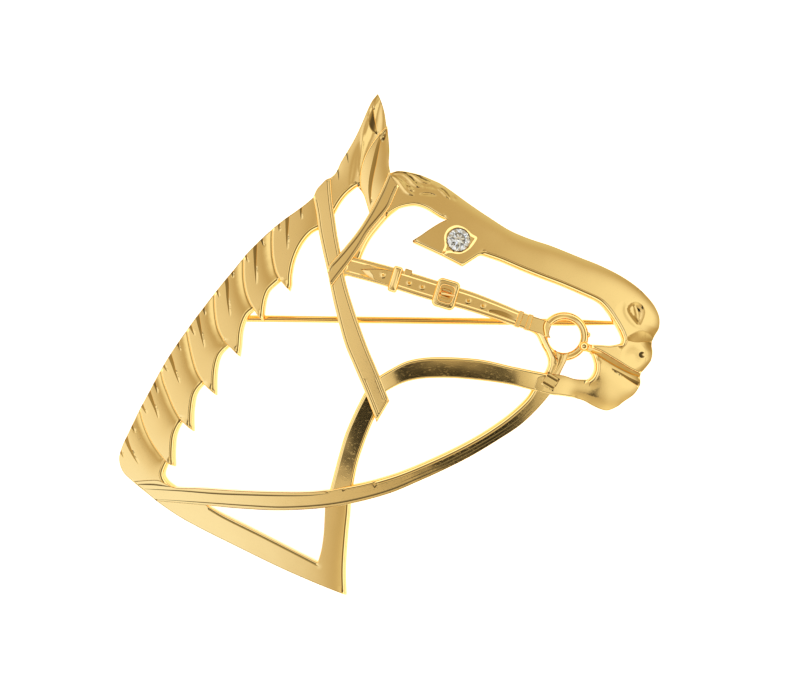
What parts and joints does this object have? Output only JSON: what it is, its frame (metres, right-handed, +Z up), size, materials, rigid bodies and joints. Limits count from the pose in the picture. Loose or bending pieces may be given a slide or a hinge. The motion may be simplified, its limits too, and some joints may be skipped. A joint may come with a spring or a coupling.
{
  "type": "horse head brooch",
  "caption": "Pierced gold horse-head brooch with a bridle, a bit ring, a round stone set as the eye and a hinged pin behind.",
  "frame": {"origin": "middle of the brooch's box, at the surface it lies on", "axes": "+X from the mane to the muzzle, +Y from the neck to the ear, +Z up out of the front, with the flat back leaning on the hinge, the catch and the lower tip of the neck"},
  "size_m": [0.064, 0.0594, 0.0065],
  "materials": {
    "gold": "polished",
    "pin_gold": "polished",
    "diamond": "polished"
  },
  "bodies": {
    "head": {"horse_head": "gold", "eye_stone": "diamond", "hinge_rivet": "pin_gold"},
    "pin": {"pin_stem": "pin_gold"}
  },
  "joints": [
    {"name": "pin_hinge", "type": "hinge", "parent": "head", "child": "pin", "pos_m": [-0.01914, 0.00333, 0.00105], "axis": [0.0123, 0.9969, 0.0773], "range_deg": [0, 75]}
  ]
}
